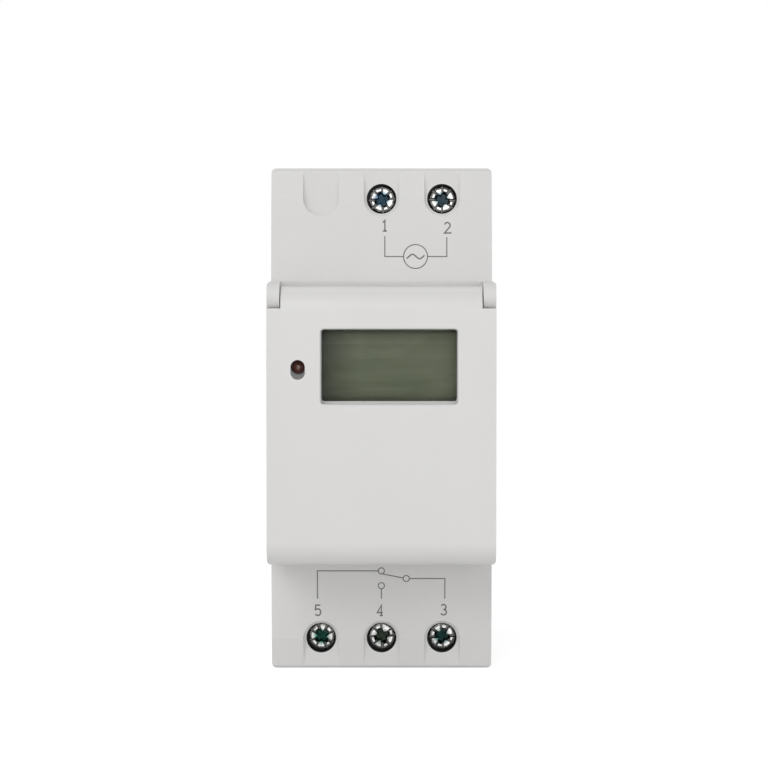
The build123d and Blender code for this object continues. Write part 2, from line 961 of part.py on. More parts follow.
def relay_coil():
    """The winding on its bobbin, round the core."""
    low = y_relay_foot + yoke_thickness
    high = y_relay_foot + coil_top
    coil = rod_y(coil_radius - coil_sink, low, high, coil_x, relay_z)
    coil += rod_y(coil_radius, low, low + coil_flange, coil_x, relay_z)
    coil += rod_y(coil_radius, high - coil_flange, high, coil_x, relay_z)
    return coil - rod_y(core_radius, low, high, coil_x, relay_z)


def relay_armature():
    """The hinged iron plate with its rolled pivot, and the arm that works the contacts."""
    low = relay_z - yoke_width / 2
    high = relay_z + yoke_width / 2
    back = y_armature + armature_thickness
    arm_end = yoke_left + armature_reach
    arm_low = relay_z - armature_arm_half
    arm_high = relay_z + armature_arm_half
    plate = block(yoke_left, coil_x + coil_radius, y_armature, back, low, high)
    plate += block(yoke_left, arm_end, y_armature, back, arm_low, arm_high)
    return plate + rod_z(armature_bead, low, high, armature_axis_x, y_armature)


def relay_blade(level, side):
    """One fixed blade: an upright strip with a foot turned in over the armature's arm."""
    z = relay_z + side * blade_offset
    half = blade_thickness / 2
    left = blade_x - blade_half_width
    right = blade_x + blade_half_width
    inner = relay_z - side * armature_arm_half
    blade = block(left, right, y_relay_foot, level, z - half, z + half)
    return blade + block(left, right, level - blade_thickness, level, inner, z + side * half)


def relay_contacts():
    """The two fixed blades, one on each side of the armature's arm."""
    closed = y_armature - armature_reach * armature_swing - blade_low_gap
    rest = y_armature + armature_thickness + blade_high_gap + blade_thickness
    return Compound([relay_blade(closed, -1), relay_blade(rest, 1)])


def dropper_capacitor():
    """The box-shaped film capacitor that drops the mains voltage."""
    return block(
        film_left, film_left + film_width,
        y_power_back, y_power_back + film_height,
        film_low, film_low + film_thickness,
    )


def smoothing_capacitor():
    """The round electrolytic capacitor, beside the snap tab."""
    return rod_y(can_radius, y_power_back, y_power_back + can_height, can_x, can_z)


def varistor():
    """The disc that takes up surges, on two legs."""
    z = post_z - varistor_drop
    y = y_power_back + varistor_lift
    half = varistor_thickness / 2
    disc = rod_z(varistor_radius, z - half, z + half, varistor_x, y)
    for side in (-1, 1):
        disc += rod_y(leg_radius, y_power_back, y, varistor_x + side * varistor_leg_spread, z)
    return disc


def rectifier_diodes():
    """Small diodes in a row, each on two bent legs."""
    diodes = []
    y = y_power_back + diode_lift
    z = post_z - diode_drop
    for index in range(diode_count):
        x = diode_first_x + diode_pitch * index
        diode = rod_z(diode_radius, z - diode_half_length, z + diode_half_length, x, y)
        diode += rod_z(leg_radius, z - diode_lead_half, z + diode_lead_half, x, y)
        for side in (-1, 1):
            foot = z + side * diode_leg_spread
            diode += rod_y(diode_leg_radius, y_power_back, y, x, foot)
        diodes.append(diode)
    return Compound(diodes)


os.makedirs("parts", exist_ok=True)
pieces = {
    "front_shell": front_shell(),
    "rear_shell": rear_shell(),
    "din_clip": din_clip(),
    "clip_spring": clip_spring(),
    "lid": lid(),
    "lcd_lens": lcd_lens(),
    "lcd_panel": lcd_panel(),
    "lcd_frame": lcd_frame(),
    "zebra_strips": zebra_strips(),
    "status_led": status_led(),
    "tact_switches": tact_switches(),
    "control_pcb": control_pcb(),
    "controller_chip": controller_chip(),
    "clock_crystal": clock_crystal(),
    "backup_battery": backup_battery(),
    "board_link": board_link(),
    "power_pcb": power_pcb(),
    "relay_base": relay_base(),
    "relay_case": relay_case(),
    "relay_yoke": relay_yoke(),
    "relay_coil": relay_coil(),
    "relay_armature": relay_armature(),
    "relay_contacts": relay_contacts(),
    "dropper_capacitor": dropper_capacitor(),
    "smoothing_capacitor": smoothing_capacitor(),
    "varistor": varistor(),
    "rectifier_diodes": rectifier_diodes(),
}
for name in key_places:
    pieces[name] = key(name)
for number, (column, end) in terminals.items():
    pieces["terminal_screw_" + number] = terminal_screw(column, end)
    pieces["terminal_cage_" + number] = terminal_cage(column, end)
    pieces["contact_bar_" + number] = contact_bar(column, end)
for name, piece in pieces.items():
    export_step(piece, "parts/" + name + ".step")
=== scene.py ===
"""A two-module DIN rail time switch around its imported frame: finish, printing, screws and light."""
import json
import math

import bmesh
import bpy
from mathutils import Matrix, Vector


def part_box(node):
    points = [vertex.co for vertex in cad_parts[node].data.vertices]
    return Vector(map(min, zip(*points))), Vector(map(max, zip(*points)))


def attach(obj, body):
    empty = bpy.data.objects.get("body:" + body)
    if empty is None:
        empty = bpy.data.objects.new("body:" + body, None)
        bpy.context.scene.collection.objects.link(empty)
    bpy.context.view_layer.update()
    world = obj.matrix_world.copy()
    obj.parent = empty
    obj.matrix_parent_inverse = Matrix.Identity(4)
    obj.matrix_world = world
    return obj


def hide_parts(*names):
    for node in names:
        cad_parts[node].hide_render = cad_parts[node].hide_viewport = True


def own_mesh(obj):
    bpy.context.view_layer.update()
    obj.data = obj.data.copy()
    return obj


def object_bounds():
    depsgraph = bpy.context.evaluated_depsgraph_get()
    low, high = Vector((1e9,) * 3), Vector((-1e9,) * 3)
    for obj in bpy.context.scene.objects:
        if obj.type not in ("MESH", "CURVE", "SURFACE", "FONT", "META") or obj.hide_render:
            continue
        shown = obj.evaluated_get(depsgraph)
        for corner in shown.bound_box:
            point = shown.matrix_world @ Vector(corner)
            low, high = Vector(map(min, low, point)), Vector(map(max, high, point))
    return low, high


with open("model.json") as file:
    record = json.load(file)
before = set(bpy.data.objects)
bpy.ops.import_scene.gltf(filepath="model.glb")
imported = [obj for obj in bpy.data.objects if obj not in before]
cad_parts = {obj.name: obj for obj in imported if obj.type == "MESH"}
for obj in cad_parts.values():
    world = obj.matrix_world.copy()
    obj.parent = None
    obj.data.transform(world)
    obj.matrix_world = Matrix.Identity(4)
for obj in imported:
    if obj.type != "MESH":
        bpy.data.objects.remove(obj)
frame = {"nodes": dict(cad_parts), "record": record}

cad_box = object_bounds()
MM = 0.001
SEAM_Y = -22.0 * MM
WHITE = (1, 1, 1)
NODES = frame["nodes"]
RECORD = frame["record"]
OWNERS = {node: body for body, nodes in RECORD["behaviour"]["bodies"].items() for node in nodes}
FRONT = Vector((0, -1, 0))

# Each terminal screw's turn in degrees, and the tint of the plating in its recess
SCREW_TURNS = {"1": 22, "2": 68, "5": 40, "4": 112, "3": 75}
SCREW_TINTS = {
    "1": (0.13, 0.24, 0.34),
    "2": (0.15, 0.23, 0.27),
    "5": (0.06, 0.25, 0.19),
    "4": (0.14, 0.19, 0.15),
    "3": (0.07, 0.18, 0.17),
}


# Materials: the noise's roughness, then the sizes of the marks

NOISE_ROUGHNESS = 0.55
FLOW_SIZE = 14 * MM
SPECK_SIZE = 0.5 * MM
GLOSS_SIZE = 5 * MM
GRAIN_SIZE = 0.18 * MM
WAVE_SIZE = 9 * MM
WAVE_DEPTH = 0.02 * MM
# The reach of the painted highlight on plastic edges
EDGE_HIGHLIGHT_RADIUS = 0.22 * MM
WELL_RADIUS = 2.42 * MM
WELL_BLUR = 0.04 * MM
FILM_RADIUS = 2.3 * MM

# Where a mix node that is set to RGBA keeps its two colours and their result
COLOR_A = 6
COLOR_B = 7
COLOR_RESULT = 2


def screw_place(number):
    """The centre of a terminal screw, in X and Z."""
    low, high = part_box("terminal_screw_" + number)
    return (low.x + high.x) / 2, (low.z + high.z) / 2


def new_material(name):
    """A new node material; returns it, its node tree and its shader."""
    material = bpy.data.materials.new(name)
    material.use_nodes = True
    tree = material.node_tree
    shader = tree.nodes["Principled BSDF"]
    return material, tree, shader


def object_point(tree, scale=(1, 1, 1)):
    """The point in the row frame, stretched for streaks."""
    place = tree.nodes.new("ShaderNodeTexCoord")
    mapping = tree.nodes.new("ShaderNodeMapping")
    mapping.inputs["Scale"].default_value = scale
    tree.links.new(place.outputs["Object"], mapping.inputs["Vector"])
    return mapping.outputs["Vector"]


def map_range(tree, value, from_low, from_high, to_low=0.0, to_high=1.0):
    """The value moved from one range to another and kept inside it."""
    node = tree.nodes.new("ShaderNodeMapRange")
    node.inputs["From Min"].default_value = from_low
    node.inputs["From Max"].default_value = from_high
    node.inputs["To Min"].default_value = to_low
    node.inputs["To Max"].default_value = to_high
    tree.links.new(value, node.inputs["Value"])
    return node.outputs["Result"]


def operate(tree, kind, operation, *values):
    """A math or vector math node; each value may be a socket or a constant."""
    node = tree.nodes.new(kind)
    node.operation = operation
    for socket, value in zip(node.inputs, values):
        if isinstance(value, bpy.types.NodeSocket):
            tree.links.new(value, socket)
        else:
            socket.default_value = value
    return node


def math_node(tree, operation, *values):
    """A math node's result."""
    return operate(tree, "ShaderNodeMath", operation, *values).outputs[0]


def vector_node(tree, operation, *values):
    """A vector math node's vector."""
    return operate(tree, "ShaderNodeVectorMath", operation, *values).outputs["Vector"]


def vector_number(tree, operation, *values):
    """A vector math node's number, such as a length or a dot product."""
    return operate(tree, "ShaderNodeVectorMath", operation, *values).outputs["Value"]


def separate(tree, vector):
    """A vector's three coordinates."""
    node = tree.nodes.new("ShaderNodeSeparateXYZ")
    tree.links.new(vector, node.inputs[0])
    return node.outputs


def set_color(tree, shader, color):
    """The shader's base colour taken from a socket."""
    tree.links.new(color, shader.inputs["Base Color"])


def set_roughness(tree, shader, factor, low, high):
    """Roughness that follows the factor's useful middle between two values."""
    tree.links.new(remap(tree, factor, low, high), shader.inputs["Roughness"])


def noise(tree, size, detail=3.0, stretch=(1, 1, 1)):
    """A noise whose features are about the given size in metres."""
    texture = tree.nodes.new("ShaderNodeTexNoise")
    texture.inputs["Scale"].default_value = 1 / size
    texture.inputs["Detail"].default_value = detail
    texture.inputs["Roughness"].default_value = NOISE_ROUGHNESS
    tree.links.new(object_point(tree, stretch), texture.inputs["Vector"])
    return texture.outputs["Fac"]


def ramp(tree, factor, low, high, first, last):
    """A smooth change from one colour to another between two values of the factor."""
    node = tree.nodes.new("ShaderNodeValToRGB")
    node.color_ramp.elements[0].position = low
    node.color_ramp.elements[1].position = high
    node.color_ramp.elements[0].color = (*first, 1)
    node.color_ramp.elements[1].color = (*last, 1)
    tree.links.new(factor, node.inputs["Fac"])
    return node.outputs["Color"]


def remap(tree, factor, low, high):
    """The noise's useful middle stretched between two numbers."""
    return map_range(tree, factor, 0.3, 0.7, low, high)


def bump(tree, shader, height, distance, strength=1.0, under=None):
    """Relief of the given depth in metres."""
    node = tree.nodes.new("ShaderNodeBump")
    node.inputs["Distance"].default_value = distance
    node.inputs["Strength"].default_value = strength
    tree.links.new(height, node.inputs["Height"])
    if under is not None:
        tree.links.new(under, node.inputs["Normal"])
    tree.links.new(node.outputs["Normal"], shader.inputs["Normal"])
    return node.outputs["Normal"]


def shade(color, factor):
    return tuple(min(1.0, channel * factor) for channel in color)


def mix_colors(tree, factor, first, second, blend="MIX"):
    """Two colours mixed; either may be a socket or a plain colour, and so may the factor."""
    node = tree.nodes.new("ShaderNodeMix")
    node.data_type = "RGBA"
    node.blend_type = blend
    sockets = (node.inputs[0], *node.inputs[COLOR_A:COLOR_B + 1])
    for socket, value in zip(sockets, (factor, first, second)):
        if isinstance(value, bpy.types.NodeSocket):
            tree.links.new(value, socket)
        elif isinstance(value, tuple):
            socket.default_value = (*value, 1)
        else:
            socket.default_value = value
    return node.outputs[COLOR_RESULT]


def edge_highlight(tree, color, bright, amount):
    """Edges painted a little lighter, a painted highlight found where the rounded normal leaves the face's
    own.
    """
    rounded = tree.nodes.new("ShaderNodeBevel")
    rounded.samples = 4
    rounded.inputs["Radius"].default_value = EDGE_HIGHLIGHT_RADIUS
    geometry = tree.nodes.new("ShaderNodeNewGeometry")
    agree = vector_number(tree, "DOT_PRODUCT", rounded.outputs["Normal"], geometry.outputs["Normal"])
    return mix_colors(tree, map_range(tree, agree, 0.98, 0.85, 0.0, amount), color, bright)


def plastic(name, color, roughness=0.5, depth=0.004 * MM, mottle=0.03, specular=0.4):
    """Moulded plastic: spark-eroded grain, faint flow marks, uneven gloss and painted highlights on the
    edges.
    """
    material, tree, shader = new_material(name)
    flow = noise(tree, FLOW_SIZE, 2.0, (1, 1, 0.45))
    cloud = ramp(tree, flow, 0.3, 0.7, shade(color, 1 - mottle), shade(color, 1 + mottle))
    speck = noise(tree, SPECK_SIZE, 4.0)
    tone = ramp(tree, speck, 0.3, 0.75, (1 - mottle,) * 3, WHITE)
    base = mix_colors(tree, 1.0, cloud, tone, "MULTIPLY")
    # Painted highlight: edges turned towards a colour a tenth lighter than the face
    set_color(tree, shader, edge_highlight(tree, base, shade(color, 1.1), 0.5))
    gloss = noise(tree, GLOSS_SIZE)
    set_roughness(tree, shader, gloss, roughness - 0.05, roughness + 0.07)
    shader.inputs["Specular IOR Level"].default_value = specular
    fine = noise(tree, GRAIN_SIZE, 2.0)
    wave = noise(tree, WAVE_SIZE, 1.0)
    coarse = tree.nodes.new("ShaderNodeBump")
    coarse.inputs["Distance"].default_value = WAVE_DEPTH
    coarse.inputs["Strength"].default_value = 0.5
    tree.links.new(wave, coarse.inputs["Height"])
    bump(tree, shader, fine, depth, 0.8, coarse.outputs["Normal"])
    return material


def darken(tree, shader, value, near, far, tint):
    """The shader's colour turned towards a tint where the value is under near."""
    color = shader.inputs["Base Color"].links[0].from_socket
    mask = map_range(tree, value, near, far, 1.0, 0.0)
    set_color(tree, shader, mix_colors(tree, mask, color, tint))


def shell_plastic(name):
    """The housing's plastic, with painted shade along the parting line."""
    material = plastic(name, SHELL_COLOR, 0.46, mottle=0.012)
    tree = material.node_tree
    shader = tree.nodes["Principled BSDF"]
    depth = separate(tree, object_point(tree))["Y"]
    reach = math_node(tree, "ABSOLUTE", math_node(tree, "SUBTRACT", depth, SEAM_Y))
    # Painted shade: a thin band either side of the parting line turned darker
    darken(tree, shader, reach, 0.05 * MM, 0.11 * MM, shade(SHELL_COLOR, 0.42))
    return material


def front_plastic():
    """The front half's plastic, with painted shade: the screw wells turned nearly black where shade falls
    in them.
    """
    material = shell_plastic("front_plastic")
    tree = material.node_tree
    place = object_point(tree)
    nearest = 1.0
    for number in SCREW_TURNS:
        x, z = screw_place(number)
        away = vector_node(tree, "MULTIPLY_ADD", place, (1, 0, 1), (-x, 0, -z))
        nearest = math_node(tree, "MINIMUM", nearest, vector_number(tree, "LENGTH", away))
    # Painted shade: near black inside each well's radius round its screw
    darken(tree, tree.nodes["Principled BSDF"], nearest, WELL_RADIUS, WELL_RADIUS + WELL_BLUR, (0.02,) * 3)
    return material


def plated_metal(name, color, roughness=0.28, tint=None):
    """Plated steel: fine scratches, cloudy plating, and a tint in the film."""
    material, tree, shader = new_material(name)
    cloud = noise(tree, 0.9 * MM, 3.0)
    film = tint or shade(color, 0.85)
    set_color(tree, shader, ramp(tree, cloud, 0.35, 0.65, color, film))
    shader.inputs["Metallic"].default_value = 1.0
    scratch = noise(tree, 0.12 * MM, 4.0, (1, 1, 7))
    set_roughness(tree, shader, scratch, roughness - 0.1, roughness + 0.14)
    bump(tree, shader, scratch, 0.004 * MM, 0.7)
    return material


def screw_metal(name, place, tint):
    """Zinc plate on a screw: turned rings, radial burrs, a film that is deeper in the middle, and painted
    shade in the recess and notches, darker the deeper they go.
    """
    material, tree, shader = new_material(name)
    centre = tree.nodes.new("ShaderNodeTexCoord")
    moved = vector_node(tree, "SUBTRACT", centre.outputs["Object"], place)
    flat = vector_node(tree, "MULTIPLY", moved, (1, 0, 1))
    band = map_range(tree, vector_number(tree, "LENGTH", flat), 0.0, FILM_RADIUS)
    middle = ramp(tree, band, 0.38, 0.66, tint, (0.78, 0.78, 0.76))
    cloud = noise(tree, 0.5 * MM, 4.0)
    dull = ramp(tree, cloud, 0.36, 0.62, (0.55,) * 3, WHITE)
    mottled = mix_colors(tree, 1.0, middle, dull, "MULTIPLY")
    # Painted shade: the metal turns darker the further a point lies behind the head's face
    depth = map_range(tree, separate(tree, moved)["Y"], 0.12 * MM, 0.5 * MM)
    recess_shade = mix_colors(tree, depth, WHITE, (0.16,) * 3)
    set_color(tree, shader, mix_colors(tree, 1.0, mottled, recess_shade, "MULTIPLY"))
    shader.inputs["Metallic"].default_value = 1.0
    set_roughness(tree, shader, cloud, 0.2, 0.36)
    rings = tree.nodes.new("ShaderNodeTexWave")
    rings.wave_type = "RINGS"
    rings.rings_direction = "SPHERICAL"
    rings.inputs["Scale"].default_value = 2200
    rings.inputs["Distortion"].default_value = 1.5
    tree.links.new(flat, rings.inputs["Vector"])
    bump(tree, shader, rings.outputs["Fac"], 0.006 * MM, 0.5)
    return material


def display_glass():
    """The blank display: a grey-green film with a painted shadow of the window's rim along its left side
    and painted shade towards the bottom, over a faint cell structure.
    """
    material, tree, shader = new_material("display_glass")
    low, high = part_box("lcd_lens")
    place = tree.nodes.new("ShaderNodeTexCoord")
    split = separate(tree, place.outputs["Object"])
    across = map_range(tree, split["X"], low.x, high.x)
    up = map_range(tree, split["Z"], low.z, high.z)
    # Painted shadow of the window's rim: dark at the left, full colour from a third of the way across
    side = ramp(tree, across, 0.04, 0.3, (0.19, 0.19, 0.17), (0.48, 0.475, 0.385))
    # Painted shade: darker towards the bottom
    rise = ramp(tree, up, 0.0, 1.0, (0.82, 0.84, 0.8), WHITE)
    base = mix_colors(tree, 1.0, side, rise, "MULTIPLY")
    cloud = noise(tree, 6 * MM, 2.0)
    tone = ramp(tree, cloud, 0.35, 0.65, (0.9, 0.92, 0.88), WHITE)
    set_color(tree, shader, mix_colors(tree, 1.0, base, tone, "MULTIPLY"))
    grain = noise(tree, 0.3 * MM, 2.0)
    set_roughness(tree, shader, grain, 0.3, 0.42)
    bump(tree, shader, grain, 0.001 * MM, 0.4)
    return material


def clear_window():
    """The lens: clear plastic that lets light straight through and shines at a glance."""
    material, tree, shader = new_material("clear_window")
    wave = noise(tree, 7 * MM, 1.0)
    tint = ramp(tree, wave, 0.3, 0.7, (0.9, 0.93, 0.88), (0.93, 0.95, 0.91))
    shader.inputs["Base Color"].default_value = (0.02, 0.02, 0.02, 1)
    set_roughness(tree, shader, wave, 0.04, 0.1)
    bump(tree, shader, wave, 0.01 * MM, 0.3)
    clear = tree.nodes.new("ShaderNodeBsdfTransparent")
    tree.links.new(tint, clear.inputs["Color"])
    glance = tree.nodes.new("ShaderNodeFresnel")
    glance.inputs["IOR"].default_value = 1.45
    blend = tree.nodes.new("ShaderNodeMixShader")
    tree.links.new(glance.outputs["Fac"], blend.inputs["Fac"])
    tree.links.new(clear.outputs["BSDF"], blend.inputs[1])
    tree.links.new(shader.outputs["BSDF"], blend.inputs[2])
    tree.links.new(blend.outputs["Shader"], tree.nodes["Material Output"].inputs["Surface"])
    return material


def tinted_lamp():
    """The lamp's clear red-brown resin, unlit."""
    material, tree, shader = new_material("tinted_lamp")
    cloud = noise(tree, 0.8 * MM, 2.0)
    tint = ramp(tree, cloud, 0.35, 0.65, (0.13, 0.05, 0.04), (0.19, 0.075, 0.06))
    set_color(tree, shader, tint)
    set_roughness(tree, shader, cloud, 0.1, 0.2)
    shader.inputs["Coat Weight"].default_value = 0.6
    return material


def circuit_board():
    """Green solder mask over copper tracks, with weave showing through."""
    material, tree, shader = new_material("circuit_board")
    tracks = tree.nodes.new("ShaderNodeTexBrick")
    tracks.inputs["Scale"].default_value = 260
    tracks.inputs["Mortar Size"].default_value = 0.012
    tracks.inputs["Color1"].default_value = (0.012, 0.09, 0.03, 1)
    tracks.inputs["Color2"].default_value = (0.016, 0.11, 0.04, 1)
    tracks.inputs["Mortar"].default_value = (0.05, 0.22, 0.07, 1)
    flat = tree.nodes.new("ShaderNodeMapping")
    flat.inputs["Rotation"].default_value = (math.pi / 2, 0, 0)
    place = tree.nodes.new("ShaderNodeTexCoord")
    tree.links.new(place.outputs["Object"], flat.inputs["Vector"])
    tree.links.new(flat.outputs["Vector"], tracks.inputs["Vector"])
    weave = noise(tree, 0.5 * MM, 3.0)
    tone = ramp(tree, weave, 0.3, 0.7, (0.85, 0.85, 0.85), (1, 1, 1))
    base = mix_colors(tree, 1.0, tracks.outputs["Color"], tone, "MULTIPLY")
    set_color(tree, shader, base)
    set_roughness(tree, shader, weave, 0.25, 0.4)
    bump(tree, shader, tracks.outputs["Fac"], 0.03 * MM, 0.4)
    return material


def striped_rubber():
    """Zebra rubber: thin dark conductive stripes in grey silicone."""
    material, tree, shader = new_material("striped_rubber")
    stripes = tree.nodes.new("ShaderNodeTexWave")
    stripes.inputs["Scale"].default_value = 3000
    tree.links.new(object_point(tree), stripes.inputs["Vector"])
    tint = ramp(tree, stripes.outputs["Fac"], 0.4, 0.6, (0.03, 0.03, 0.03), (0.35, 0.3, 0.3))
    set_color(tree, shader, tint)
    shader.inputs["Roughness"].default_value = 0.75
    bump(tree, shader, noise(tree, 0.2 * MM), 0.005 * MM)
    return material


def winding():
    """Enamelled copper wire, turn on turn, under a film of varnish, with painted shade in the grooves
    between turns.
    """
    material, tree, shader = new_material("winding")
    turns = tree.nodes.new("ShaderNodeTexWave")
    turns.bands_direction = "Y"
    turns.inputs["Scale"].default_value = 1400
    turns.inputs["Distortion"].default_value = 0.4
    tree.links.new(object_point(tree), turns.inputs["Vector"])
    # Painted shade: the copper darker in the grooves between turns, where the bump sinks
    tint = ramp(tree, turns.outputs["Fac"], 0.2, 0.8, (0.16, 0.05, 0.015), (0.5, 0.2, 0.07))
    set_color(tree, shader, tint)
    shader.inputs["Metallic"].default_value = 0.6
    shader.inputs["Roughness"].default_value = 0.32
    bump(tree, shader, turns.outputs["Fac"], 0.05 * MM, 0.8)
    return material


def printing_ink():
    """Grey pad-printed ink with uneven cover."""
    material, tree, shader = new_material("printing_ink")
    cover = noise(tree, 0.25 * MM, 4.0)
    tint = ramp(tree, cover, 0.3, 0.7, (0.12, 0.112, 0.108), (0.19, 0.18, 0.172))
    set_color(tree, shader, tint)
    set_roughness(tree, shader, cover, 0.4, 0.6)
    bump(tree, shader, cover, 0.002 * MM, 0.5)
    return material


SHELL_COLOR = (0.74, 0.733, 0.725)
LID_COLOR = (0.755, 0.748, 0.74)
MATERIALS = {
    "housing": shell_plastic("housing_plastic"),
    "lid": plastic("lid_plastic", LID_COLOR, 0.38, depth=0.0025 * MM, mottle=0.008, specular=0.5),
    "clip": plastic("clip_plastic", (0.045, 0.045, 0.048), 0.42, mottle=0.12),
    "spring": plated_metal("spring_wire", (0.55, 0.55, 0.56)),
    "lens": clear_window(),
    "display_glass": display_glass(),
    "lamp_frame": plastic("frame_plastic", (0.6, 0.6, 0.58)),
    "zebra": striped_rubber(),
    "led": tinted_lamp(),
    "switch_body": plastic("switch_plastic", (0.03, 0.03, 0.032), 0.4, mottle=0.1),
    "board": circuit_board(),
    "chip": plastic("chip_resin", (0.018, 0.018, 0.02), 0.5, mottle=0.15),
    "can": plated_metal("crystal_can", (0.66, 0.66, 0.65)),
    "battery": plated_metal("cell_steel", (0.62, 0.62, 0.6), 0.22),
    "link": plastic("header_plastic", (0.03, 0.03, 0.032), 0.5, mottle=0.1),
    "relay_plastic": plastic("relay_plastic", (0.03, 0.09, 0.32), 0.35, mottle=0.06),
    "iron": plated_metal("relay_iron", (0.52, 0.51, 0.48), 0.35),
    "winding": winding(),
    "contact": plated_metal("contact_brass", (0.72, 0.52, 0.26), 0.3, (0.6, 0.4, 0.2)),
    "film_capacitor": plastic("capacitor_box", (0.48, 0.3, 0.04), 0.35, mottle=0.05),
    "electrolytic": plastic("capacitor_sleeve", (0.03, 0.035, 0.06), 0.3, mottle=0.1),
    "varistor": plastic("varistor_dip", (0.03, 0.09, 0.35), 0.28, mottle=0.08),
    "diode": plastic("diode_resin", (0.02, 0.02, 0.022), 0.4, mottle=0.15),
    "cage": plated_metal("cage_steel", (0.55, 0.55, 0.52), 0.3, (0.5, 0.46, 0.36)),
    "keys": plastic("key_plastic", (0.075, 0.08, 0.085), 0.4, mottle=0.06),
    "reset_key": plastic("reset_plastic", (0.4, 0.03, 0.022), 0.38, mottle=0.06),
}
FRONT_FINISH = front_plastic()
INK = printing_ink()


EDGE_ROUND = 0.12 * MM


def finish_nodes():
    """Every CAD node gets its slot's finish and softened edges, apart from the replaced screws."""
    slots = {row["node"]: row["material_slot"] for row in RECORD["subparts"]}
    for name, node in NODES.items():
        slot = slots[name]
        if slot not in MATERIALS:
            continue
        node.data.materials.clear()
        node.data.materials.append(FRONT_FINISH if name == "front_shell" else MATERIALS[slot])
        soften(node)


def soften(piece):
    """Small rounded edges: moulded and stamped pieces have no knife edges."""
    merge = piece.modifiers.new("merge_flats", "DECIMATE")
    merge.decimate_type = "DISSOLVE"
    merge.angle_limit = math.radians(0.6)
    round_off = piece.modifiers.new("edge_round", "BEVEL")
    round_off.width = EDGE_ROUND
    round_off.segments = 2
    round_off.limit_method = "ANGLE"
    round_off.angle_limit = math.radians(38)
    round_off.use_clamp_overlap = False
    level = piece.modifiers.new("flat_faces", "WEIGHTED_NORMAL")
    level.weight = 90
    level.keep_sharp = True
    for polygon in piece.data.polygons:
        polygon.use_smooth = True


def mesh_piece(name, shape, material, body):
    """A new piece from a bmesh, finished and riding on a body."""
    mesh = bpy.data.meshes.new(name)
    bmesh.ops.recalc_face_normals(shape, faces=shape.faces)
    shape.to_mesh(mesh)
    shape.free()
    piece = bpy.data.objects.new(name, mesh)
    bpy.context.scene.collection.objects.link(piece)
    mesh.materials.append(material)
    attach(piece, body)
    return piece


# Printing on the shoulders

DIGIT_HEIGHT = 1.72 * MM
STROKE = 0.23 * MM
LINE = 0.17 * MM
INK_HEIGHT = 0.012 * MM
INK_SINK = 0.004 * MM
WAVE_SPAN = 2.9 * MM
WAVE_RISE = 0.36 * MM
WAVE_STEPS = 24
WAVE_CYCLES = 1.25
WAVE_START = 0.16


def arc(x, z, radius_x, radius_z, start, end, steps=18):
    """Points along an ellipse, with angles in degrees from the right, turning up."""
    points = []
    for step in range(steps + 1):
        angle = math.radians(start + (end - start) * step / steps)
        points.append((x + radius_x * math.cos(angle), z + radius_z * math.sin(angle)))
    return points


# Plain digits as strokes in a frame one unit wide and two units high, centred on the origin
DIGITS = {
    "1": [[(-0.38, 0.62), (0.0, 1.0), (0.0, -1.0)], [(-0.38, -1.0), (0.38, -1.0)]],
    "2": [arc(0, 0.45, 0.52, 0.55, 165, -35) + [(-0.55, -1.0), (0.6, -1.0), (0.6, -0.8)]],
    "3": [arc(0, 0.5, 0.47, 0.5, 150, -90), arc(0, -0.48, 0.55, 0.52, 90, -155)],
    "4": [[(0.5, -0.45), (-0.55, -0.45), (0.22, 1.0), (0.22, -1.0)], [(-0.12, -1.0), (0.5, -1.0)]],
    "5": [[(0.48, 1.0), (-0.38, 1.0), (-0.46, 0.12)] + arc(0, -0.36, 0.54, 0.64, 130, -150)],
}


def offset_path(path, distance, closed):
    """The path moved sideways, with mitred corners."""
    count = len(path)
    moved = []
    for index, point in enumerate(path):
        before = path[index - 1] if index or closed else None
        after = path[(index + 1) % count] if index < count - 1 or closed else None
        sides = []
        for start, end in ((before, point), (point, after)):
            if start is None or end is None:
                continue
            along = (Vector(end) - Vector(start)).normalized()
            sides.append(Vector((-along.y, along.x)))
        normal = sum(sides, Vector((0, 0))).normalized()
        reach = distance / max(0.4, normal.dot(sides[0]))
        moved.append(Vector(point) + normal * reach)
    return moved


def surface_depth(x, z):
    """How far back the front shell's surface lies at a point seen from the front."""
    start = Vector((x, cad_box[0].y - 10 * MM, z))
    hit, place, _, _ = NODES["front_shell"].ray_cast(start, -FRONT)
    if not hit:
        raise ValueError(f"nothing to print on at {x}, {z}")
    return place.y


def print_strokes(name, strokes, width, closed=False):
    """Ink strokes laid on the front shell as thin raised ribbons."""
    shape = bmesh.new()
    for path in strokes:
        left = offset_path(path, width / 2, closed)
        right = offset_path(path, -width / 2, closed)
        rows = []
        for a, b in zip(left, right):
            depths = [surface_depth(point.x, point.y) for point in (a, b)]
            top = [Vector((p.x, y - INK_HEIGHT, p.y)) for p, y in zip((a, b), depths)]
            low = [Vector((p.x, y + INK_SINK, p.y)) for p, y in zip((b, a), reversed(depths))]
            rows.append([shape.verts.new(corner) for corner in top + low])
        spans = list(zip(rows, rows[1:]))
        if closed:
            spans.append((rows[-1], rows[0]))
        else:
            shape.faces.new(rows[0])
            shape.faces.new(list(reversed(rows[-1])))
        for first, second in spans:
            for side in range(4):
                after = (side + 1) % 4
                shape.faces.new((first[side], first[after], second[after], second[side]))
    mesh_piece(name, shape, INK, OWNERS["front_shell"])


def print_digit(digit, x, z):
    half = DIGIT_HEIGHT / 2
    strokes = [[(x + px * half, z + pz * half) for px, pz in path] for path in DIGITS[digit]]
    print_strokes("digit_" + digit, strokes, STROKE)


def print_ring(name, x, z, radius):
    ring = arc(x, z, radius, radius, 0, 350, 35)
    print_strokes(name, [ring], LINE, closed=True)


def print_lines(name, strokes):
    print_strokes(name, strokes, LINE)


